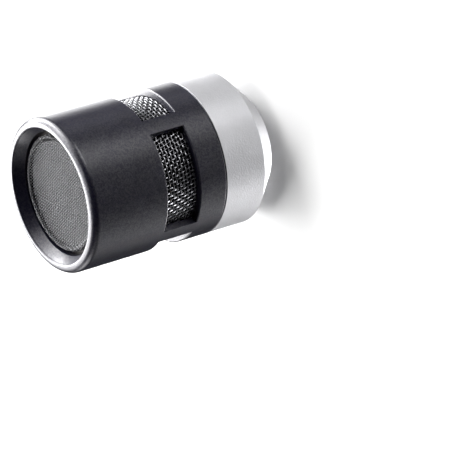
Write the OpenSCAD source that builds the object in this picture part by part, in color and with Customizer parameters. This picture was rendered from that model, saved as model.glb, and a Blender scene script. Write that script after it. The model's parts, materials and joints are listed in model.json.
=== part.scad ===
// Condenser microphone capsule with side windows.
// It stands on its rear face: +Z points to the sound inlet, the origin is the middle of the rear face.
// All lengths are in millimetres.

/* [Sleeve] */
// Outer diameter of the sleeve and of the collar
body_d = 20; // [19.8:0.1:22]
// Thickness of the sleeve's wall
sleeve_wall = 0.95; // [0.85:0.05:1]
// Radius of the rim's rounded outer edge
rim_round = 0.95; // [0.6:0.05:1]
// Radius of the rim's rounded inner edge
rim_inner_round = 0.2; // [0.1:0.05:0.25]
// Width of the rim, from the outside to the inner lip
rim_w = 1.27; // [1.25:0.01:1.4]
// Depth of the cone inside the rim
cone_depth = 1.5; // [1.2:0.1:2]
// How much the cone narrows, on the radius
cone_drop = 0.73; // [0.5:0.01:0.8]
// Length of the straight opening under the cone
opening_h = 1.05; // [0.9:0.05:1.5]
// Chamfer at the seam between the sleeve and the collar
seam_chamfer = 0.12; // [0.05:0.01:0.2]

/* [Windows] */
// Number of windows round the sleeve
window_count = 4; // [3:1:5]
// Length of a window along the axis
window_h = 4.8; // [4:0.1:6]
// Width of the bar between two windows
bar_w = 2.15; // [1.5:0.05:3]
// Chamfer of a window's long edges
window_chamfer = 0.12; // [0.05:0.01:0.2]

/* [Front mesh] */
// Thickness of the woven sheet
mesh_t = 0.25; // [0.2:0.01:0.3]
// Gap between the mesh cap and the opening round it
mesh_gap = 0.5; // [0.4:0.05:0.6]
// Height of the cap's bead above its flange
cap_h = 1.15; // [1:0.05:1.3]
// Width of the bead with both of its slopes
bead_w = 0.85; // [0.8:0.05:1]
// Depth of the field below the bead's crest
field_recess = 0.3; // [0.2:0.05:0.4]
// Spacing of the ribs that stand for the weave
front_rib_pitch = 1.15; // [1.15:0.05:1.6]
// Width of one of those ribs
front_rib_w = 0.45; // [0.3:0.05:0.6]
// Thickness of one set of ribs, as a share of the sheet's thickness
front_rib_share = 0.64; // [0.55:0.01:0.8]
// Turn of the weave about the axis, in degrees
front_weave_turn = 39; // [0:1:89]

/* [Side mesh] */
// How far the mesh tube reaches past a window at each end
tube_overlap = 0.45; // [0.3:0.05:0.6]
// Thickness of the mesh tube
tube_t = 0.36; // [0.3:0.02:0.4]
// Number of leaning ribs round the tube
side_rib_count = 40; // [24:1:40]
// Number of ribs that run round the tube between its hems
side_ring_count = 2; // [1:1:2]
// Width of one rib
side_rib_w = 0.45; // [0.3:0.05:0.5]
// Thickness of the leaning ribs, as a share of the tube's thickness
side_rib_share = 0.6; // [0.5:0.05:0.8]
// Thickness of the ribs round the tube, as a share of the tube's thickness
side_hoop_share = 0.7; // [0.6:0.05:0.9]
// Lean of the ribs from the axis, in degrees
side_lean = 14; // [0:1:16]

/* [Gauzes] */
// Thickness of the gauze behind the front mesh
front_gauze_t = 0.15; // [0.1:0.05:0.3]
// Thickness of the gauze tube behind the side mesh
side_gauze_t = 0.15; // [0.1:0.05:0.3]

/* [Front ring] */
// Height of the ring that holds the front mesh
mesh_ring_h = 1; // [0.8:0.1:1.5]
// Width of that ring
mesh_ring_w = 1.3; // [1:0.05:1.5]

/* [Cartridge] */
// Wall of the shell round the stack
shell_wall = 0.9; // [0.8:0.05:1.1]
// Thickness of the shell's floor
shell_floor_t = 1; // [0.8:0.1:1.4]
// Number of sound inlets in the shell's floor
inlet_count = 8; // [6:1:10]
// Diameter of one inlet
inlet_d = 1.8; // [1.2:0.1:2]
// Radius of the circle that the inlets lie on
inlet_ring_r = 4.5; // [4.2:0.1:5]
// How far the lock ring sits below the shell's edge
lock_ring_recess = 0.15; // [0.05:0.05:0.4]
// Height of the lock ring
lock_ring_h = 1.2; // [1:0.1:1.6]
// Width of the lock ring
lock_ring_w = 1.4; // [1.2:0.1:1.6]
// Width of the spanner slot across the lock ring
lock_slot_w = 1.2; // [0.8:0.1:2]
// Depth of the spanner slot
lock_slot_depth = 0.6; // [0.3:0.05:0.9]
// Height of the ring that the film is stretched on
diaphragm_ring_h = 0.9; // [0.7:0.1:1.2]
// Width of the ring that the film is stretched on
diaphragm_ring_w = 1.7; // [1.6:0.05:1.9]
// Thickness of the film, thicker than a real one so that it is a solid
diaphragm_t = 0.05; // [0.04:0.01:0.1]
// Thickness of the spacer that sets the air gap
spacer_t = 0.1; // [0.05:0.01:0.2]
// How far the spacer reaches in over the backplate
spacer_lap = 0.3; // [0.2:0.05:0.5]

/* [Backplate] */
// Thickness of the backplate
backplate_t = 1.6; // [1.2:0.1:2.2]
// Number of rings of holes in the backplate
hole_rings = 3; // [1:1:3]
// Distance between two rings of holes
hole_pitch = 1.65; // [1.5:0.05:1.75]
// Diameter of one hole
hole_d = 0.56; // [0.4:0.02:0.7]
// Thickness of the damping disc
damping_t = 0.4; // [0.3:0.05:0.8]
// Wall of the cup that holds the backplate
insulator_wall = 1.4; // [1.2:0.1:1.6]
// Thickness of that cup's floor
insulator_floor_t = 1; // [0.8:0.1:1.5]
// Thickness of the washer that loads the stack
washer_t = 0.4; // [0.3:0.05:0.6]
// Width of that washer
washer_w = 1.6; // [1:0.1:1.8]

/* [Contact] */
// Diameter of the backplate's stud
stud_d = 1.2; // [1:0.05:1.3]
// How far the stud goes into the backplate
stud_grip = 0.8; // [0.5:0.1:1]
// How far the stud passes the nut
stud_tail = 1.2; // [0.8:0.1:2]
// Width of the stud's nut across its corners
nut_d = 2.7; // [2.5:0.1:3]
// Height of the nut
nut_h = 1; // [0.8:0.1:1.4]
// Wire diameter of the contact spring
spring_wire_d = 0.3; // [0.2:0.02:0.36]
// Gap between the spring and what it is centred on
spring_gap = 0.12; // [0.08:0.01:0.15]
// Number of turns of the contact spring
spring_turns = 8; // [5:1:10]
// Diameter of the contact pin
pin_d = 1.6; // [1.2:0.1:2]
// How far the pin stands out of its insulator
pin_reach = 0.6; // [0.3:0.05:0.8]
// Diameter of the pin's head
pin_head_d = 3.2; // [3:0.1:4]
// Height of the pin's head
pin_head_h = 0.8; // [0.6:0.1:1.2]
// Height of the nose that centres the spring
pin_nose_h = 1.5; // [1:0.1:2]
// Thickness of the rear insulator
rear_insulator_t = 1.8; // [1.4:0.1:2.4]
// Height of the ring that holds the rear insulator
rear_ring_h = 1.2; // [1:0.1:1.6]
// Width of that ring
rear_ring_w = 1.5; // [1.2:0.1:1.8]

/* [Collar] */
// Length of the collar's straight part
collar_h = 5.85; // [5.5:0.05:7]
// Length of the tapered rear shoulder
taper_h = 3.25; // [3:0.05:3.6]
// Outer diameter of the rear face
rear_face_d = 13.6; // [13.2:0.1:14.4]
// Height of the spigot inside the sleeve
spigot_h = 3.5; // [3:0.1:4]
// Diameter of the rear thread's bore
thread_d = 10.7; // [10:0.1:11]
// Length of that bore
thread_len = 3.4; // [3:0.1:3.6]
// Chamfer at its mouth
thread_chamfer = 0.3; // [0.2:0.05:0.4]
// Length of the relief above the thread
relief_h = 1.2; // [1:0.1:1.5]
// Depth of the relief, on the radius
relief_depth = 0.25; // [0.15:0.05:0.4]
// Wall of the collar round the rear insulator
collar_wall = 1.62; // [1.4:0.01:1.8]

/* [Fits] */
// Side clearance between pieces that slide into each other
fit_gap = 0.03; // [0.02:0.01:0.05]
// Clearance of the stud's nut in the shell's floor
nut_gap = 0.35; // [0.25:0.05:0.5]

/* [Hidden] */
$fn = 96;

// Depth that a cut runs past the face it opens
cut = 0.5;
// Points on one quarter of a rounded edge
arc_steps = 8;
// Sides of the spring's wire, and its rings along the coil
spring_sides = 8;
spring_rings = 12 * spring_turns;

// Radii, from the outside in
body_r = body_d / 2;
bore_r = body_r - sleeve_wall;
seat_r = bore_r - fit_gap;
lip_r = body_r - rim_w;
opening_r = lip_r - cone_drop;
cap_r = opening_r - mesh_gap;
field_r = cap_r - bead_w;
tube_in_r = seat_r - tube_t;
gauze_out_r = tube_in_r - fit_gap;
gauze_in_r = gauze_out_r - side_gauze_t;
shell_in_r = seat_r - shell_wall;
stack_r = shell_in_r - fit_gap;
cup_in_r = stack_r - insulator_wall;
backplate_r = cup_in_r - fit_gap;
stud_r = stud_d / 2;
nut_r = nut_d / 2;
pin_r = pin_d / 2;
spring_r = stud_r + spring_gap + spring_wire_d / 2;
nose_r = stud_r;
insulator_seat_r = seat_r - collar_wall;

// Heights, each piece on the one below it
seam_z = taper_h + collar_h;
spigot_top_z = seam_z + spigot_h;
window_z = spigot_top_z + tube_overlap;
tube_h = window_h + 2 * tube_overlap;
shell_z = spigot_top_z + tube_h;
washer_z = shell_z + shell_floor_t;
cup_z = washer_z + washer_t;
damping_z = cup_z + insulator_floor_t;
backplate_z = damping_z + damping_t;
spacer_z = backplate_z + backplate_t;
diaphragm_z = spacer_z + spacer_t;
diaphragm_ring_z = diaphragm_z + diaphragm_t;
lock_ring_z = diaphragm_ring_z + diaphragm_ring_h;
shell_top_z = lock_ring_z + lock_ring_h + lock_ring_recess;
flange_z = shell_top_z + mesh_ring_h;
shoulder_z = flange_z + mesh_t;
cone_z = shoulder_z + opening_h;
front_z = cone_z + cone_depth;
bead_z = shoulder_z + cap_h;
field_z = bead_z - field_recess;
insulator_z = thread_len + relief_h;
rear_ring_z = insulator_z + rear_insulator_t;
nut_z = cup_z - nut_h;
head_z = rear_ring_z;

// How far a window's chamfer has spread where its cut ends outside the sleeve
window_flare = window_chamfer + cut;
// Half the angle of a window, from the width of the bar at the outside
bar_angle = 2 * asin(bar_w / 2 / body_r);
window_half = (360 / window_count - bar_angle) / 2;

// Points of an arc about a centre, from one angle to another
function arc(cx, cy, r, from, to) =
    [for (i = [0:arc_steps]) let (t = from + (to - from) * i / arc_steps) [cx + r * cos(t), cy + r * sin(t)]];

// A ring from one height to another
module ring(outer_r, inner_r, z, h) {
    translate([0, 0, z])
        difference() {
            cylinder(r = outer_r, h = h);
            translate([0, 0, -cut]) cylinder(r = inner_r, h = h + 2 * cut);
        }
}

// A circle of like holes
module around(count, r) {
    for (i = [0:count - 1])
        rotate([0, 0, 360 * i / count]) translate([r, 0, 0]) children();
}

// The sleeve's section: rounded rim, cone, opening, shoulder and bore
module sleeve_section() {
    polygon(concat(
        [[bore_r, seam_z], [body_r - seam_chamfer, seam_z], [body_r, seam_z + seam_chamfer]],
        arc(body_r - rim_round, front_z - rim_round, rim_round, 0, 90),
        arc(lip_r + rim_inner_round, front_z - rim_inner_round, rim_inner_round, 90, 180),
        [[opening_r, cone_z], [opening_r, shoulder_z], [bore_r, shoulder_z]]
    ));
}

// The ring that a window is cut from, wider at its outer edges
module window_ring() {
    far_r = body_r + cut;
    rotate_extrude()
        polygon([
            [bore_r - cut, window_z],
            [body_r - window_chamfer, window_z],
            [far_r, window_z - window_flare],
            [far_r, window_z + window_h + window_flare],
            [body_r - window_chamfer, window_z + window_h],
            [bore_r - cut, window_z + window_h]
        ]);
}

// The wedge that bounds one window, centred on the given direction
module window_wedge(direction) {
    reach = 2 * body_r;
    past = window_flare + cut;
    rotate([0, 0, direction])
        translate([0, 0, window_z - past])
            linear_extrude(height = window_h + 2 * past)
                polygon([
                    [0, 0],
                    [reach * cos(window_half), -reach * sin(window_half)],
                    [reach * cos(window_half), reach * sin(window_half)]
                ]);
}

module housing_sleeve() {
    color("#26272b")
        difference() {
            rotate_extrude() sleeve_section();
            for (i = [0:window_count - 1])
                intersection() {
                    window_ring();
                    window_wedge(360 * i / window_count - 90);
                }
        }
}

// The formed edge of the front mesh: flange, wall, bead and the slope down to the field
module cap_section() {
    crest_round = mesh_t;
    inner_r = cap_r - mesh_t;
    slope_top_r = field_r + bead_w - 2 * mesh_t - crest_round / 2;
    polygon(concat(
        [[seat_r, flange_z], [seat_r, shoulder_z], [cap_r, shoulder_z]],
        arc(cap_r - crest_round, bead_z - crest_round, crest_round, 0, 90),
        [
            [slope_top_r, bead_z],
            [field_r, field_z],
            [field_r - mesh_t, field_z],
            [field_r - mesh_t, field_z - mesh_t],
            [field_r + mesh_t / 2, field_z - mesh_t],
            [slope_top_r + mesh_t / 2, bead_z - mesh_t],
            [inner_r, bead_z - mesh_t],
            [inner_r, flange_z]
        ]
    ));
}

// One set of parallel ribs across the field
module field_ribs(turn, z, h) {
    half_count = floor(field_r / front_rib_pitch);
    rotate([0, 0, turn])
        for (i = [-half_count:half_count])
            translate([-field_r, i * front_rib_pitch - front_rib_w / 2, z])
                cube([2 * field_r, front_rib_w, h]);
}

module front_mesh() {
    low_z = field_z - mesh_t;
    rib_h = mesh_t * front_rib_share;
    color("#8c8c90") {
        union() {
            rotate_extrude() cap_section();
            intersection() {
                translate([0, 0, low_z]) cylinder(r = field_r - mesh_t / 2, h = mesh_t);
                union() {
                    field_ribs(front_weave_turn, low_z, rib_h);
                    field_ribs(front_weave_turn + 90, field_z - rib_h, rib_h);
                }
            }
        }
    }
}

module front_gauze() {
    color("#1a1a1c")
        translate([0, 0, field_z - mesh_t - front_gauze_t])
            cylinder(r = field_r, h = front_gauze_t);
}

module mesh_retaining_ring() {
    color("#b79a5b") ring(seat_r, seat_r - mesh_ring_w, shell_top_z, mesh_ring_h);
}

// A straight rib of the side mesh, leaning from the axis, set in so that its ends stay on the tube
module leaning_rib() {
    rib_t = tube_t * side_rib_share;
    rib_len = (tube_h - tube_overlap) / cos(side_lean);
    reach = (rib_len * sin(side_lean) + side_rib_w) / 2;
    sag = seat_r - sqrt(seat_r * seat_r - reach * reach);
    translate([seat_r - rib_t / 2 - sag, 0, spigot_top_z + tube_h / 2])
        rotate([side_lean, 0, 0])
            cube([rib_t, side_rib_w, rib_len], center = true);
}

module side_mesh() {
    ring_pitch = window_h / (side_ring_count + 1);
    hoop_t = tube_t * side_hoop_share;
    color("#9a9a9c")
        union() {
            ring(seat_r, tube_in_r, spigot_top_z, tube_overlap);
            ring(seat_r, tube_in_r, window_z + window_h, tube_overlap);
            for (i = [1:side_ring_count])
                ring(tube_in_r + hoop_t, tube_in_r, window_z + i * ring_pitch - side_rib_w / 2, side_rib_w);
            for (i = [0:side_rib_count - 1])
                rotate([0, 0, 360 * i / side_rib_count]) leaning_rib();
        }
}

module side_gauze() {
    color("#151516") ring(gauze_out_r, gauze_in_r, spigot_top_z, tube_h);
}

module cartridge_shell() {
    color("#b79a5b")
        difference() {
            translate([0, 0, shell_z]) cylinder(r = seat_r, h = shell_top_z - shell_z);
            translate([0, 0, washer_z]) cylinder(r = shell_in_r, h = shell_top_z - washer_z + cut);
            translate([0, 0, shell_z - cut]) {
                cylinder(r = nut_r + nut_gap, h = shell_floor_t + 2 * cut);
                around(inlet_count, inlet_ring_r) cylinder(d = inlet_d, h = shell_floor_t + 2 * cut);
            }
        }
}

module cartridge_lock_ring() {
    color("#b79a5b")
        difference() {
            ring(stack_r, stack_r - lock_ring_w, lock_ring_z, lock_ring_h);
            translate([-body_r, -lock_slot_w / 2, lock_ring_z + lock_ring_h - lock_slot_depth])
                cube([body_d, lock_slot_w, lock_slot_depth + cut]);
        }
}

module diaphragm_ring() {
    color("#c8a75f") ring(stack_r, stack_r - diaphragm_ring_w, diaphragm_ring_z, diaphragm_ring_h);
}

module diaphragm() {
    color("#d9b45a") translate([0, 0, diaphragm_z]) cylinder(r = stack_r, h = diaphragm_t);
}

module spacer_ring() {
    color("#c9b98f") ring(stack_r, backplate_r - spacer_lap, spacer_z, spacer_t);
}

// Rings of holes, six more in each ring, kept between the stud and the rim
module backplate() {
    color("#c3a25a")
        difference() {
            translate([0, 0, backplate_z]) cylinder(r = backplate_r, h = backplate_t);
            translate([0, 0, backplate_z - cut]) {
                cylinder(r = stud_r, h = stud_grip + cut);
                for (k = [1:hole_rings])
                    around(6 * k, k * hole_pitch) cylinder(d = hole_d, h = backplate_t + 2 * cut);
            }
        }
}

module damping_disc() {
    color("#3a3a3c") ring(backplate_r, stud_r, damping_z, damping_t);
}

module backplate_insulator() {
    color("#e6e2d6")
        difference() {
            translate([0, 0, cup_z]) cylinder(r = stack_r, h = spacer_z - cup_z);
            translate([0, 0, damping_z]) cylinder(r = cup_in_r, h = spacer_z - damping_z + cut);
            translate([0, 0, cup_z - cut]) {
                cylinder(r = stud_r, h = insulator_floor_t + 2 * cut);
                around(inlet_count, inlet_ring_r) cylinder(d = inlet_d, h = insulator_floor_t + 2 * cut);
            }
        }
}

module preload_washer() {
    color("#a9a9ab") ring(stack_r, stack_r - washer_w, washer_z, washer_t);
}

module backplate_stud() {
    low_z = nut_z - stud_tail;
    color("#c3a25a") translate([0, 0, low_z]) cylinder(r = stud_r, h = backplate_z + stud_grip - low_z);
}

module stud_nut() {
    color("#c3a25a")
        difference() {
            translate([0, 0, nut_z]) cylinder(r = nut_r, h = nut_h, $fn = 6);
            translate([0, 0, nut_z - cut]) cylinder(r = stud_r, h = nut_h + 2 * cut);
        }
}

// One corner of the spring's wire: ring i along the coil, side j round the wire
function spring_point(i, j) =
    let (
        t = i / spring_rings,
        turn = 360 * spring_turns * t,
        side = 360 * j / spring_sides,
        low = head_z + pin_head_h + spring_wire_d / 2,
        high = nut_z - spring_wire_d / 2,
        reach = spring_r + spring_wire_d / 2 * cos(side)
    )
    [reach * cos(turn), reach * sin(turn), low + (high - low) * t + spring_wire_d / 2 * sin(side)];

module contact_spring() {
    points = [for (i = [0:spring_rings]) for (j = [0:spring_sides - 1]) spring_point(i, j)];
    walls = [
        for (i = [0:spring_rings - 1]) for (j = [0:spring_sides - 1])
            let (k = (j + 1) % spring_sides, here = i * spring_sides, next = here + spring_sides)
                [here + j, next + j, next + k, here + k]
    ];
    first = [[for (j = [0:spring_sides - 1]) j]];
    last = [[for (j = [0:spring_sides - 1]) spring_rings * spring_sides + spring_sides - 1 - j]];
    color("#caa55c") polyhedron(points = points, faces = concat(walls, first, last));
}

module contact_pin() {
    color("#d9b45a")
        union() {
            translate([0, 0, insulator_z - pin_reach]) cylinder(r = pin_r, h = rear_insulator_t + pin_reach);
            translate([0, 0, head_z]) cylinder(d = pin_head_d, h = pin_head_h);
            translate([0, 0, head_z + pin_head_h]) cylinder(r = nose_r, h = pin_nose_h);
        }
}

module rear_insulator() {
    color("#e6e2d6") ring(insulator_seat_r - fit_gap, pin_r, insulator_z, rear_insulator_t);
}

module insulator_lock_ring() {
    outer_r = insulator_seat_r - fit_gap;
    color("#a9a9ab") ring(outer_r, outer_r - rear_ring_w, rear_ring_z, rear_ring_h);
}

// The collar's section: rear face, taper, straight side, seam, spigot and stepped bore
module collar_section() {
    thread_r = thread_d / 2;
    polygon([
        [thread_r + thread_chamfer, 0],
        [rear_face_d / 2, 0],
        [body_r, taper_h],
        [body_r, seam_z - seam_chamfer],
        [body_r - seam_chamfer, seam_z],
        [seat_r, seam_z],
        [seat_r, spigot_top_z],
        [insulator_seat_r, spigot_top_z],
        [insulator_seat_r, insulator_z],
        [thread_r + relief_depth, insulator_z],
        [thread_r + relief_depth, thread_len],
        [thread_r, thread_len],
        [thread_r, thread_chamfer]
    ]);
}

module rear_collar() {
    color("#c9cacc") rotate_extrude() collar_section();
}

housing_sleeve();
front_mesh();
front_gauze();
mesh_retaining_ring();
side_mesh();
side_gauze();
cartridge_shell();
cartridge_lock_ring();
diaphragm_ring();
diaphragm();
spacer_ring();
backplate();
damping_disc();
backplate_insulator();
preload_washer();
backplate_stud();
stud_nut();
contact_spring();
contact_pin();
rear_insulator();
insulator_lock_ring();
rear_collar();
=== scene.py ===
import json
import math

import bmesh
import bpy
from bpy.props import FloatProperty, FloatVectorProperty, IntProperty, PointerProperty
from mathutils import Matrix, Vector


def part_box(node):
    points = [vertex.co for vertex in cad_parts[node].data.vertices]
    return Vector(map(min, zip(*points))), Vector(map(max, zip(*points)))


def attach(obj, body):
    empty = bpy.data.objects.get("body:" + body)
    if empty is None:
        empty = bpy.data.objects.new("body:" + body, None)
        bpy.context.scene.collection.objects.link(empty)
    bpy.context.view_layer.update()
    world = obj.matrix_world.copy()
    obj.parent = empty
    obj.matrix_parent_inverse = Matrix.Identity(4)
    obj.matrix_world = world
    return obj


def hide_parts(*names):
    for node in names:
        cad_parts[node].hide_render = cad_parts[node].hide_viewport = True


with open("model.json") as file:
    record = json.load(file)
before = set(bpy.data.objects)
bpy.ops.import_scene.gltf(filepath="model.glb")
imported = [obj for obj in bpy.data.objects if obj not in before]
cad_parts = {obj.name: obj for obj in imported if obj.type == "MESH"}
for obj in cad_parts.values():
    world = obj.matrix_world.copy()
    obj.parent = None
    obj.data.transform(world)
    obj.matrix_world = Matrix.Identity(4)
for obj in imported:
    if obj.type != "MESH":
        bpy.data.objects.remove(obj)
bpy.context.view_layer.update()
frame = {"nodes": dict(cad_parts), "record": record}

bl_info = {
    "name": "Condenser microphone capsule",
    "version": (1, 0, 0),
    "blender": (4, 5, 0),
    "location": "3D View > Sidebar > Capsule",
    "description": "Woven meshes, finishes and a studio for a side-vented microphone capsule",
    "category": "Object",
}

MM = 0.001


def linear(hex_colour):
    """An sRGB hex colour as linear red, green, blue and alpha."""
    channels = [int(hex_colour[i:i + 2], 16) / 255 for i in (1, 3, 5)]
    return tuple(c / 12.92 if c <= 0.04045 else ((c + 0.055) / 1.055) ** 2.4 for c in channels) + (1.0,)


def length_setting(label, text, millimetres):
    return FloatProperty(name=label, description=text, default=millimetres * MM, unit="LENGTH", precision=5)


def angle_setting(label, text, degrees):
    return FloatProperty(name=label, description=text, default=math.radians(degrees), subtype="ANGLE")


def colour_setting(label, text, hex_colour):
    return FloatVectorProperty(name=label, description=text, default=linear(hex_colour), size=4,
                               min=0, max=1, subtype="COLOR")


def number_setting(label, text, value):
    return FloatProperty(name=label, description=text, default=value, min=0, subtype="NONE")


class WeaveSizes(bpy.types.PropertyGroup):
    """Sizes of the woven wire"""
    side_wire: length_setting("Side wire", "Diameter of the wire in the side mesh", 0.15)
    side_rows: IntProperty(name="Side rows", description="Wires that run round the side mesh",
                           default=11, min=3)
    side_wires: IntProperty(name="Side wires", description="Leaning wires in the side mesh, an even number",
                            default=106, min=20)
    side_lean: angle_setting("Side lean", "Lean of the side wires from the axis", 14.4)
    front_wire: length_setting("Front wire", "Diameter of the wire in the front mesh", 0.094)
    front_pitch: length_setting("Front pitch", "Spacing of the wires in the front mesh", 0.3)
    front_turn: angle_setting("Front turn", "Turn of the front weave about the axis", 33.5)


class Finishes(bpy.types.PropertyGroup):
    """Colours of the finishes"""
    anodised: colour_setting("Black anodising", "Dyed oxide on the sleeve", "#070618")
    silver: colour_setting("Satin silver", "Blasted, clear anodised aluminium of the collar", "#cbcbce")
    side_wire: colour_setting("Side wire", "Drawn stainless wire of the side mesh", "#b4b4b8")
    front_wire: colour_setting("Front wire", "Dark nickel on the fine wire of the front mesh", "#606062")
    gauze: colour_setting("Gauze", "Black acoustic gauze behind the meshes", "#0d0d0e")
    brass: colour_setting("Brass", "Turned brass of the transducer's rings", "#c8a468")
    # The mesh edge's near-black is painted shade: it keeps the deep gap round the front mesh dark
    gap_shade: colour_setting("Painted gap shade", "Blackened edge of the front mesh", "#1c1a19")
    gold: colour_setting("Gold", "Gold of the film and of the contacts", "#e2bd6c")
    polyester: colour_setting("Polyester", "Insulating film of the spacer", "#cdb98c")
    resin: colour_setting("Insulator", "Machined insulator, natural colour", "#e5e0d3")
    steel: colour_setting("Spring steel", "Rolled spring steel of the washer", "#a6a7aa")


class StudioSettings(bpy.types.PropertyGroup):
    """Camera, floor and lights"""
    azimuth: angle_setting("Azimuth", "Camera's turn about the axis", 17.649)
    elevation: angle_setting("Elevation", "Camera's height above the floor", 30.917)
    roll: angle_setting("Roll", "Camera's turn about its own view", 107.04)
    distance: length_setting("Distance", "From the camera to the point it looks at", 454.712)
    focal_length: number_setting("Focal length", "Focal length on a 36 mm sensor, in millimetres", 289.404)
    aim: FloatVectorProperty(name="Aim", description="Point that the camera looks at", size=3, unit="LENGTH",
                             default=(-8.1015 * MM, -6.5376 * MM, 8.1489 * MM))
    light_distance: length_setting("Light distance", "From the capsule to every softbox", 600)
    floor_size: length_setting("Floor", "Width of the floor", 6000)
    floor_colour: colour_setting("Floor colour", "Seamless paper", "#c8c8c8")


# Modelling

# A wire has six sides, and three rings to each crossing
WIRE_SIDES = 6
RINGS_PER_PITCH = 3

# Sides of a turned sheet
ROUND_SIDES = 96


def deselect_all():
    if bpy.context.mode != "OBJECT":
        bpy.ops.object.mode_set(mode="OBJECT")
    bpy.ops.object.select_all(action="DESELECT")


def select_only(piece):
    deselect_all()
    piece.select_set(True)
    bpy.context.view_layer.objects.active = piece


def apply_place(piece):
    select_only(piece)
    bpy.ops.object.transform_apply(location=True, rotation=True, scale=True)


def repeat(piece, step, count, merge=False):
    """Copies a piece along a step, with the Array modifier."""
    select_only(piece)
    array = piece.modifiers.new("Array", "ARRAY")
    array.use_relative_offset = False
    array.use_constant_offset = True
    array.constant_offset_displace = step
    array.count = count
    array.use_merge_vertices = merge
    array.merge_threshold = 0.01 * MM
    bpy.ops.object.modifier_apply(modifier=array.name)


def join(pieces, name):
    deselect_all()
    for piece in pieces:
        piece.select_set(True)
    bpy.context.view_layer.objects.active = pieces[0]
    bpy.ops.object.join()
    joined = bpy.context.view_layer.objects.active
    joined.name = name
    joined.data.name = name
    return joined


def turned_sheet(line, thick, name):
    """A round sheet: a circle extruded along a line of radii and heights, then given its thickness."""
    (radius, height), *rest = line
    deselect_all()
    bpy.ops.mesh.primitive_circle_add(vertices=ROUND_SIDES, radius=radius, location=(0, 0, height))
    sheet = bpy.context.view_layer.objects.active
    sheet.name = name
    bpy.ops.object.mode_set(mode="EDIT")
    for next_radius, next_height in rest:
        bpy.ops.mesh.extrude_region_move(TRANSFORM_OT_translate={"value": (0, 0, next_height - height)})
        bpy.ops.transform.resize(value=(next_radius / radius, next_radius / radius, 1))
        radius, height = next_radius, next_height
    bpy.ops.object.mode_set(mode="OBJECT")
    apply_place(sheet)
    wall = sheet.modifiers.new("Wall", "SOLIDIFY")
    wall.thickness = thick
    wall.offset = 0
    bpy.ops.object.modifier_apply(modifier=wall.name)
    mend_faces(sheet)
    return sheet


def turned_copy(piece, turn):
    """A copy with its own mesh, turned by a matrix."""
    select_only(piece)
    bpy.ops.object.duplicate(linked=False)
    copy = bpy.context.view_layer.objects.active
    copy.data.transform(turn)
    return copy


def shade(piece):
    """Smooth shading, which leaves edges of more than 50 degrees sharp."""
    select_only(piece)
    bpy.ops.object.shade_smooth_by_angle(angle=math.radians(50))


def mend_faces(piece, distance=0.002 * MM):
    """Merges doubled points, closes open ends and points every face outwards."""
    select_only(piece)
    bpy.ops.object.mode_set(mode="EDIT")
    bpy.ops.mesh.select_all(action="SELECT")
    bpy.ops.mesh.remove_doubles(threshold=distance)
    bpy.ops.mesh.fill_holes(sides=WIRE_SIDES + 2)
    bpy.ops.mesh.select_all(action="SELECT")
    bpy.ops.mesh.normals_make_consistent(inside=False)
    bpy.ops.object.mode_set(mode="OBJECT")


def wave_wire(radius, pitch, crossings, rise, closed):
    """A woven wire along X: a ring of points extruded step by step over and under the wires that it crosses.

    A closed wire has a face on each end. An open one goes on in its own copies.
    """
    deselect_all()
    bpy.ops.mesh.primitive_circle_add(vertices=WIRE_SIDES, radius=radius, location=(0, 0, rise),
                                      rotation=(0, math.pi / 2, 0), fill_type="NGON" if closed else "NOTHING")
    wire = bpy.context.view_layer.objects.active
    bpy.ops.object.mode_set(mode="EDIT")
    height = rise
    for ring in range(1, crossings * RINGS_PER_PITCH + 1):
        next_height = rise * math.cos(math.pi * ring / RINGS_PER_PITCH)
        bpy.ops.mesh.extrude_region_move(
            TRANSFORM_OT_translate={"value": (pitch / RINGS_PER_PITCH, 0, next_height - height)})
        height = next_height
    bpy.ops.object.mode_set(mode="OBJECT")
    apply_place(wire)
    return wire


def move_points(piece, place):
    """Moves each point of a mesh to where a function puts it."""
    for point in piece.data.vertices:
        point.co = place(point.co)
    piece.data.update()


def stand_for(piece, slot, *nodes):
    """The piece rides on the body and stands for its nodes, which are hidden. The slot is not used."""
    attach(piece, "root")
    if nodes:
        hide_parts(*nodes)


# Materials


def feed(tree, socket, value):
    """Links a socket to another one, or sets its value."""
    if isinstance(value, bpy.types.NodeSocket):
        tree.links.new(value, socket)
    else:
        socket.default_value = value


def add_node(tree, kind, inputs=None, **settings):
    """Adds a shader node, with its settings and with its inputs as values or links."""
    made = tree.nodes.new(kind)
    for name, value in settings.items():
        setattr(made, name, value)
    for name, value in (inputs or {}).items():
        feed(tree, made.inputs[name], value)
    return made


def new_material(name, **surface):
    """An empty material with a Principled shader, whose fixed values are given by the shader's own names."""
    material = bpy.data.materials.new(name)
    material.use_nodes = True
    tree = material.node_tree
    tree.nodes.clear()
    values = {name.replace("_", " "): value for name, value in surface.items()}
    shader = add_node(tree, "ShaderNodeBsdfPrincipled", values)
    add_node(tree, "ShaderNodeOutputMaterial", {"Surface": shader.outputs["BSDF"]})
    place = add_node(tree, "ShaderNodeTexCoord").outputs["Object"]
    return material, tree, shader, place


def per_mm(size_mm):
    """Noise scale for a feature of that many millimetres, on coordinates in metres."""
    return 1 / (size_mm * MM)


def grain(tree, place, size_mm, detail=2.0):
    return add_node(tree, "ShaderNodeTexNoise", {"Vector": place, "Scale": per_mm(size_mm), "Detail": detail},
                    noise_dimensions="3D").outputs["Fac"]


def spread(tree, value, low, high, from_low=0.3, from_high=0.7):
    """Maps a pattern's value to a range."""
    return add_node(tree, "ShaderNodeMapRange", {"Value": value, "From Min": from_low, "From Max": from_high,
                                                 "To Min": low, "To Max": high}).outputs["Result"]


def tint(tree, factor, colour_a, colour_b):
    """Mixes two colours. The Mix node has sockets of each type under one name, so they are picked by type."""
    mix = add_node(tree, "ShaderNodeMix", {"Factor": factor}, data_type="RGBA")
    for name, colour in (("A", colour_a), ("B", colour_b)):
        feed(tree, next(i for i in mix.inputs if i.name == name and i.type == "RGBA"), colour)
    return next(o for o in mix.outputs if o.type == "RGBA")


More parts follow.
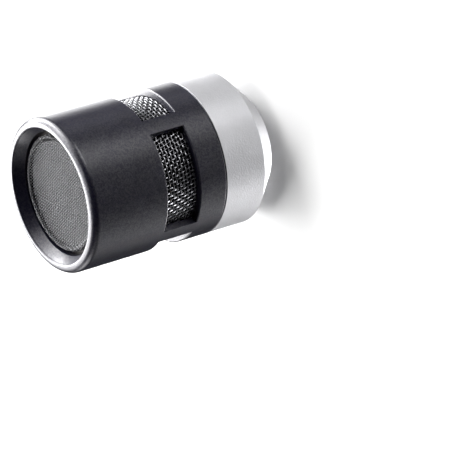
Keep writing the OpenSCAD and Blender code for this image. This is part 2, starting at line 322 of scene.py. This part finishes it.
def scaled(colour, share):
    return tuple(c * share for c in colour[:3]) + (1.0,)


def bump(tree, shader, height, depth_mm, edge_mm=0.0):
    """Relief from a pattern. With an edge size, sharp edges catch the light as if broken by that much."""
    made = add_node(tree, "ShaderNodeBump", {"Height": height, "Distance": depth_mm * MM})
    if edge_mm:
        edge = add_node(tree, "ShaderNodeBevel", {"Radius": edge_mm * MM}, samples=6)
        tree.links.new(edge.outputs["Normal"], made.inputs["Normal"])
    tree.links.new(made.outputs["Normal"], shader.inputs["Normal"])


def black_anodised(colours):
    """Aluminium, bead-blasted and then anodised black: a fine even grain, dark, with a broad soft gloss."""
    # The tint's own value is about the mean of the pattern that is linked to it below
    material, tree, shader, place = new_material("black_anodised_aluminium", IOR=1.5, Specular_IOR_Level=0.95,
                                                 Specular_Tint=linear("#e2e1e8"))
    # Blasting leaves pits of about 0.06 mm. They are drawn at 0.15 mm, so that the render can show them.
    cells = add_node(tree, "ShaderNodeTexVoronoi", {"Vector": place, "Scale": per_mm(0.15)})
    pits = cells.outputs["Color"]
    clouds = grain(tree, place, 2.5)
    tree.links.new(tint(tree, spread(tree, clouds, 0.0, 1.0),
                        scaled(colours.anodised, 0.85), scaled(colours.anodised, 1.15)),
                   shader.inputs["Base Color"])
    tree.links.new(spread(tree, pits, 0.30, 0.38, 0.1, 0.9), shader.inputs["Roughness"])
    tree.links.new(tint(tree, spread(tree, pits, 0.0, 1.0, 0.2, 0.8), linear("#cdccd3"), linear("#fffeff")),
                   shader.inputs["Specular Tint"])
    bump(tree, shader, grain(tree, place, 0.2), 0.01, edge_mm=0.08)
    return material


# Share of the collar's colour that the painted shade in its chamfer covers
SEAM_SHADE_SHARE = 0.85


def satin_silver(colours):
    """Aluminium, fine-blasted and clear anodised: a bright satin with a fine grain."""
    material, tree, shader, place = new_material("satin_anodised_aluminium", Metallic=0.9)
    pits = grain(tree, place, 0.2)
    clouds = grain(tree, place, 3.0)
    metal = tint(tree, spread(tree, clouds, 0.0, 1.0),
                 scaled(colours.silver, 0.95), scaled(colours.silver, 1.03))
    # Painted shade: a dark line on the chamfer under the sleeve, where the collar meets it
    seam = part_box("housing_sleeve")[0].z
    height = add_node(tree, "ShaderNodeSeparateXYZ", {"Vector": place}).outputs["Z"]
    seam_shade = spread(tree, height, 0.0, SEAM_SHADE_SHARE, seam - 0.14 * MM, seam - 0.09 * MM)
    tree.links.new(tint(tree, seam_shade, metal, colours.anodised), shader.inputs["Base Color"])
    tree.links.new(spread(tree, pits, 0.45, 0.58), shader.inputs["Roughness"])
    bump(tree, shader, pits, 0.025)
    return material


def woven_wire(name, colour, rough, patch_mm):
    """Drawn wire, woven: bright along its crowns, duller in patches where the loom rubbed it."""
    material, tree, shader, place = new_material(name, Metallic=1.0)
    rubbed = grain(tree, place, patch_mm)
    tree.links.new(tint(tree, spread(tree, rubbed, 0.0, 1.0), scaled(colour, 0.8), colour),
                   shader.inputs["Base Color"])
    tree.links.new(spread(tree, rubbed, rough - 0.05, rough + 0.05), shader.inputs["Roughness"])
    return material


def black_gauze(colours):
    """Black polyester gauze: a matt cloth whose threads are about 0.2 mm apart."""
    material, tree, shader, place = new_material("black_acoustic_gauze", Roughness=0.9,
                                                 Specular_IOR_Level=0.1)
    cells = add_node(tree, "ShaderNodeTexVoronoi", {"Vector": place, "Scale": per_mm(0.2)})
    threads = cells.outputs["Distance"]
    tree.links.new(tint(tree, threads, colours.gauze, scaled(colours.gauze, 0.4)),
                   shader.inputs["Base Color"])
    bump(tree, shader, threads, 0.02)
    return material


# Waves that Blender's wave texture draws across one unit of its scale
WAVES_PER_UNIT = 20 / math.tau


def turned_metal(name, colour, rough_low, rough_high, ring_mm):
    """Metal turned on a lathe: faint rings about the axis, wider apart than real ones so that they show."""
    material, tree, shader, place = new_material(name, Metallic=1.0)
    rings = add_node(tree, "ShaderNodeTexWave",
                     {"Vector": place, "Scale": per_mm(ring_mm) / WAVES_PER_UNIT, "Distortion": 0.4,
                      "Detail": 1.0},
                     wave_type="RINGS", rings_direction="Z", wave_profile="SIN").outputs["Fac"]
    tree.links.new(tint(tree, rings, scaled(colour, 0.88), colour), shader.inputs["Base Color"])
    tree.links.new(spread(tree, rings, rough_low, rough_high, 0, 1), shader.inputs["Roughness"])
    bump(tree, shader, rings, 0.003)
    return material


def metallised_film(colours):
    """Polyester film with a gold layer: smooth, with very shallow waves from stretching."""
    material, tree, shader, place = new_material("gold_metallised_film", Metallic=1.0)
    waves = grain(tree, place, 4.0, 1.0)
    tree.links.new(tint(tree, waves, scaled(colours.gold, 0.92), colours.gold), shader.inputs["Base Color"])
    tree.links.new(spread(tree, waves, 0.12, 0.2), shader.inputs["Roughness"])
    bump(tree, shader, waves, 0.01)
    return material


def plastic(name, colour, rough, grain_mm):
    """Machined plastic: matt, with faint tool marks."""
    material, tree, shader, place = new_material(name)
    marks = grain(tree, place, grain_mm)
    tree.links.new(tint(tree, marks, scaled(colour, 0.92), colour), shader.inputs["Base Color"])
    tree.links.new(spread(tree, marks, rough - 0.06, rough + 0.06), shader.inputs["Roughness"])
    bump(tree, shader, marks, 0.004)
    return material


def seamless_paper(colour):
    """Studio paper: matt, near white, with a very faint tooth."""
    material, tree, shader, place = new_material("seamless_studio_paper", Roughness=0.95,
                                                 Specular_IOR_Level=0.1)
    tooth = grain(tree, place, 8.0)
    tree.links.new(tint(tree, tooth, scaled(colour, 0.99), colour), shader.inputs["Base Color"])
    return material


def dress(piece, material):
    piece.data.materials.clear()
    piece.data.materials.append(material)


# Operators


# Room between the side gauze and the mesh round it
FIT_GAP = 0.03 * MM


class CAPSULE_OT_side_mesh(bpy.types.Operator):
    """Weave the wire tube that stands behind the side windows"""
    bl_idname = "capsule.side_mesh"
    bl_label = "Side mesh"

    def execute(self, context):
        sizes = context.scene.capsule_weave
        low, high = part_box("side_mesh")
        inner_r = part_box("side_gauze")[1].x + FIT_GAP
        middle_r = (high.x + inner_r) / 2
        height = high.z - low.z
        rise = sizes.side_wire / 2
        across = 2 * math.pi * middle_r / sizes.side_wires
        along = height / sizes.side_rows
        pairs = sizes.side_wires // 2

        leaning = wave_wire(rise, along, sizes.side_rows, rise, closed=True)
        leaning.data.transform(Matrix.Rotation(math.pi / 2, 4, "Z"))
        opposite = wave_wire(rise, along, sizes.side_rows, -rise, closed=True)
        opposite.data.transform(Matrix.Translation((across, 0, 0)) @ Matrix.Rotation(math.pi / 2, 4, "Z"))
        for wire in (leaning, opposite):
            repeat(wire, (2 * across, 0, 0), pairs)

        hoops = []
        for row in range(sizes.side_rows):
            side = -1 if row % 2 == 0 else 1
            hoop = wave_wire(rise, across, 2, side * rise, closed=False)
            repeat(hoop, (2 * across, 0, 0), pairs, merge=True)
            hoop.data.transform(Matrix.Translation((0, row * along, 0)))
            hoops.append(hoop)
        weave = join([leaning, opposite] + hoops, "side_weave")

        slope = math.tan(sizes.side_lean)

        def round_the_tube(point):
            angle = (point.x - point.y * slope) / middle_r
            reach = middle_r + point.z
            return Vector((reach * math.cos(angle), reach * math.sin(angle), low.z + point.y))

        move_points(weave, round_the_tube)
        mend_faces(weave)
        shade(weave)
        stand_for(weave, "mesh_wire", "side_mesh")
        dress(weave, woven_wire("woven_stainless_wire", context.scene.capsule_finishes.side_wire, 0.3, 0.4))
        return {"FINISHED"}


# Thickness of the flat edge that the ring below presses against the sleeve's shoulder
FLANGE_T = 0.25 * MM

# The gauze that lines the bead: its thickness, and its line as radius and height from the crest, in mm
SKIRT_T = 0.06 * MM
GAUZE_LINE = [(6.40, -0.60), (6.72, -0.60), (6.92, -0.42), (7.03, -0.30), (7.14, -0.26), (7.20, -0.30),
              (7.22, -0.42)]

# Middle line of the formed front mesh, given in the same way
CAP_LINE = [(0, -0.42), (6.62, -0.43), (6.78, -0.40), (6.88, -0.31), (6.95, -0.18), (7.03, -0.09),
            (7.15, -0.05), (7.27, -0.05), (7.355, -0.09), (7.40, -0.20), (7.41, -0.40), (7.41, -1.20)]


def cap_reach():
    """Arc length of the formed mesh from its middle to its edge, in metres."""
    return sum(math.hypot(b[0] - a[0], b[1] - a[1]) for a, b in zip(CAP_LINE, CAP_LINE[1:])) * MM


def cap_place(arc):
    """Radius, height and slope of the formed mesh at an arc length from its middle, in metres."""
    run = 0
    for (r0, z0), (r1, z1) in zip(CAP_LINE, CAP_LINE[1:]):
        part = math.hypot(r1 - r0, z1 - z0) * MM
        if arc <= run + part or (r1, z1) == CAP_LINE[-1]:
            share = min((arc - run) / part, 1)
            turn = math.atan2(z1 - z0, r1 - r0)
            return (r0 + (r1 - r0) * share) * MM, (z0 + (z1 - z0) * share) * MM, turn
        run += part


def cut_round(wires, pitch, reach):
    """Cuts wires along X to a disc, each at a whole ring, so that every end can be closed with one face."""
    select_only(wires)
    bpy.ops.object.mode_set(mode="EDIT")
    shape = bmesh.from_edit_mesh(wires.data)
    outside = []
    for point in shape.verts:
        middle = round(point.co.y / pitch) * pitch
        half = math.sqrt(max(reach ** 2 - middle ** 2, 0))
        if half < pitch or abs(point.co.x) > half:
            outside.append(point)
    bmesh.ops.delete(shape, geom=outside, context="VERTS")
    bmesh.update_edit_mesh(wires.data)
    bpy.ops.object.mode_set(mode="OBJECT")


def flat_weave(pitch, rise, reach):
    """A flat disc of plain weave, with that radius."""
    span = 2 * math.ceil(reach / pitch / 2)
    over = wave_wire(rise, pitch, 2, rise, closed=False)
    under = wave_wire(rise, pitch, 2, -rise, closed=False)
    under.data.transform(Matrix.Translation((0, pitch, 0)))
    for wire in (over, under):
        repeat(wire, (2 * pitch, 0, 0), span, merge=True)
        repeat(wire, (0, 2 * pitch, 0), span)
    warp = join([over, under], "warp")
    warp.data.transform(Matrix.Translation((-span * pitch, -span * pitch, 0)))
    cut_round(warp, pitch, reach)
    weft = turned_copy(warp, Matrix.Rotation(math.pi / 2, 4, "Z") @ Matrix.Rotation(math.pi, 4, "X"))
    return join([warp, weft], "front_weave")


class CAPSULE_OT_front_mesh(bpy.types.Operator):
    """Weave the fine front mesh, and form its recessed field and raised bead"""
    bl_idname = "capsule.front_mesh"
    bl_label = "Front mesh"

    def execute(self, context):
        sizes = context.scene.capsule_weave
        colours = context.scene.capsule_finishes
        low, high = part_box("front_mesh")
        crest = high.z
        rest_z = low.z + FLANGE_T / 2

        weave = flat_weave(sizes.front_pitch, sizes.front_wire / 2, cap_reach())

        def form(point):
            arc = math.hypot(point.x, point.y)
            heading = math.atan2(point.y, point.x) + sizes.front_turn
            r, z, turn = cap_place(arc)
            r -= point.z * math.sin(turn)
            z += crest + point.z * math.cos(turn)
            return Vector((r * math.cos(heading), r * math.sin(heading), z))

        move_points(weave, form)
        mend_faces(weave)
        dress(weave, woven_wire("woven_dark_nickel_wire", colours.front_wire, 0.34, 2.0))

        edge = turned_sheet([(CAP_LINE[-1][0] * MM, rest_z), (high.x, rest_z)], FLANGE_T, "front_edge")
        # Painted shade: the flat edge at the bottom of the gap is near black, so that the gap reads as shaded
        dress(edge, woven_wire("shade_dark_mesh_edge", colours.gap_shade, 0.5, 0.4))
        weave = join([weave, edge], "front_weave")
        shade(weave)
        stand_for(weave, "mesh_wire", "front_mesh")

        skirt = [(r * MM, crest + z * MM) for r, z in GAUZE_LINE] + [(GAUZE_LINE[-1][0] * MM, rest_z)]
        gauze = turned_sheet(skirt, SKIRT_T, "front_gauze_skirt")
        shade(gauze)
        stand_for(gauze, "dark_gauze")
        dress(gauze, black_gauze(colours))
        return {"FINISHED"}


class CAPSULE_OT_finishes(bpy.types.Operator):
    """Give every solid of the capsule its own finish"""
    bl_idname = "capsule.finishes"
    bl_label = "Finishes"

    def execute(self, context):
        colours = context.scene.capsule_finishes
        made = {
            "black_anodised": black_anodised(colours),
            "satin_silver": satin_silver(colours),
            "mesh_wire": woven_wire("plain_wire", colours.side_wire, 0.3, 0.4),
            "dark_gauze": black_gauze(colours),
            "brass": turned_metal("turned_brass", colours.brass, 0.22, 0.34, 0.5),
            "gold_film": metallised_film(colours),
            "gold_contact": turned_metal("gold_plated_contact", colours.gold, 0.12, 0.2, 0.63),
            "insulating_film": plastic("polyester_film", colours.polyester, 0.3, 0.5),
            "insulator": plastic("machined_insulator", colours.resin, 0.5, 0.3),
            "spring_steel": turned_metal("rolled_spring_steel", colours.steel, 0.25, 0.4, 0.94),
        }
        slots = {row["node"]: row["material_slot"] for row in frame["record"]["subparts"]}
        # The retaining ring takes the black finish in place of its brass slot: painted shade that keeps the
        # gap round the front mesh dark to its bottom
        slots["mesh_retaining_ring"] = "black_anodised"
        for name, solid in frame["nodes"].items():
            if name not in slots:
                raise RuntimeError(f"no finish for {name}")
            dress(solid, made[slots[name]])
        return {"FINISHED"}


# Height that the softboxes point at, light from all round, and the camera's sensor in millimetres
LIGHT_AIM = 15 * MM
AMBIENT = 0.01
SENSOR_WIDTH = 36


class CAPSULE_OT_studio(bpy.types.Operator):
    """Set up the camera, the pale floor and the soft lights"""
    bl_idname = "capsule.studio"
    bl_label = "Studio"

    def execute(self, context):
        studio = context.scene.capsule_studio
        self.add_camera(context, studio)
        self.add_floor(context, studio)
        self.add_lights(context)
        context.scene.view_settings.view_transform = "Standard"
        return {"FINISHED"}

    def add_camera(self, context, studio):
        deselect_all()
        bpy.ops.object.camera_add()
        camera = context.view_layer.objects.active
        turn, rise = studio.azimuth, studio.elevation
        forward = Vector((-math.sin(turn) * math.cos(rise), math.cos(turn) * math.cos(rise), -math.sin(rise)))
        level_right = Vector((math.cos(turn), math.sin(turn), 0))
        level_up = level_right.cross(forward)
        up = math.cos(studio.roll) * level_up + math.sin(studio.roll) * level_right
        right = forward.cross(up)
        axes = Matrix((right, up, -forward)).transposed().to_4x4()
        camera.matrix_world = Matrix.Translation(Vector(studio.aim) - forward * studio.distance) @ axes
        camera.data.lens = studio.focal_length
        camera.data.sensor_width = SENSOR_WIDTH
        context.scene.camera = camera

    def add_floor(self, context, studio):
        deselect_all()
        bpy.ops.mesh.primitive_grid_add(x_subdivisions=8, y_subdivisions=8, size=studio.floor_size)
        floor = context.view_layer.objects.active
        floor.name = "studio_floor"
        dress(floor, seamless_paper(studio.floor_colour))
        # The real capsule hangs free in its studio, so what it mirrors below is light, and not this floor
        floor.visible_glossy = False
        floor.visible_shadow = False

    def add_lights(self, context):
        world = bpy.data.worlds.new("soft_studio")
        world.use_nodes = True
        background = world.node_tree.nodes["Background"]
        background.inputs["Color"].default_value = (1, 1, 1, 1)
        background.inputs["Strength"].default_value = AMBIENT
        context.scene.world = world
        for name, turn, rise, wide, tall, power in SOFTBOXES:
            self.add_softbox(context, name, turn, rise, wide, tall, power)

    def add_softbox(self, context, name, turn, rise, wide, tall, power):
        """A softbox that faces the capsule: turn from +X about +Z and rise from the floor in degrees."""
        studio = context.scene.capsule_studio
        deselect_all()
        bpy.ops.object.light_add(type="AREA")
        box = context.view_layer.objects.active
        box.name = name
        turn, rise = math.radians(turn), math.radians(rise)
        towards = Vector((math.cos(turn) * math.cos(rise), math.sin(turn) * math.cos(rise), math.sin(rise)))
        place = Vector((0, 0, LIGHT_AIM)) + towards * studio.light_distance
        box.matrix_world = Matrix.Translation(place) @ towards.to_track_quat("Z", "Y").to_matrix().to_4x4()
        box.data.shape = "RECTANGLE"
        box.data.size = wide
        box.data.size_y = tall
        box.data.energy = power
        box.visible_camera = False


# Each softbox: name, turn and rise in degrees, width and height in metres, power in watts
SOFTBOXES = [
    ("back_softbox", 90, 30, 0.3, 0.3, 5.55),
    ("back_low_strip", 60, 10, 0.3, 0.2, 5.51),
    ("under_left_card", 160, -60, 0.3, 0.3, 3.91),
    ("right_back_softbox", 30, 30, 0.3, 0.3, 3.83),
    ("left_high_softbox", 120, 55, 0.3, 0.3, 3.54),
    ("under_front_left_card", 200, -60, 0.3, 0.3, 2.39),
    ("right_high_softbox", 40, 55, 0.3, 0.3, 1.92),
    ("right_back_strip", 40, 10, 0.3, 0.2, 1.72),
    ("under_back_card", 80, -30, 0.3, 0.3, 1.57),
    ("left_back_softbox", 120, 30, 0.3, 0.3, 1.38),
    ("under_front_card", 280, -60, 0.3, 0.3, 1.36),
    ("right_low_strip", 330, -10, 0.3, 0.2, 1.21),
    ("top_softbox", 0, 85, 0.3, 0.3, 1.16),
    ("left_strip", 160, 10, 0.3, 0.2, 0.81),
    ("right_softbox", 0, 30, 0.3, 0.3, 0.8),
    ("low_front_right_card", 320, -30, 0.3, 0.3, 0.31),
    ("low_right_card", 20, -30, 0.3, 0.3, 0.19),
    ("low_left_card", 180, -30, 0.3, 0.3, 0.13),
    ("low_front_left_card", 200, -30, 0.3, 0.3, 0.13),
    ("front_left_strip", 200, 10, 0.3, 0.2, 0.13),
    ("low_back_card", 100, -30, 0.3, 0.3, 0.25),
]


class CAPSULE_PT_panel(bpy.types.Panel):
    """Lists the capsule's pieces and its studio"""
    bl_idname = "CAPSULE_PT_panel"
    bl_label = "Microphone capsule"
    bl_space_type = "VIEW_3D"
    bl_region_type = "UI"
    bl_category = "Capsule"

    def draw(self, context):
        layout = self.layout
        for operator in OPERATORS:
            layout.operator(operator.bl_idname)
        for group in ("capsule_weave", "capsule_finishes", "capsule_studio"):
            settings = getattr(context.scene, group)
            box = layout.box()
            for name in settings.bl_rna.properties.keys():
                if name not in ("rna_type", "name"):
                    box.prop(settings, name)


OPERATORS = (CAPSULE_OT_finishes, CAPSULE_OT_side_mesh, CAPSULE_OT_front_mesh, CAPSULE_OT_studio)
SETTINGS = {"capsule_weave": WeaveSizes, "capsule_finishes": Finishes, "capsule_studio": StudioSettings}
CLASSES = (*SETTINGS.values(), *OPERATORS, CAPSULE_PT_panel)


def register():
    for item in CLASSES:
        bpy.utils.register_class(item)
    for name, group in SETTINGS.items():
        setattr(bpy.types.Scene, name, PointerProperty(type=group))


def unregister():
    for name in SETTINGS:
        delattr(bpy.types.Scene, name)
    for item in reversed(CLASSES):
        bpy.utils.unregister_class(item)


def main():
    register()
    bpy.ops.capsule.finishes()
    bpy.ops.capsule.side_mesh()
    bpy.ops.capsule.front_mesh()
    bpy.ops.capsule.studio()


if __name__ == "__main__":
    main()
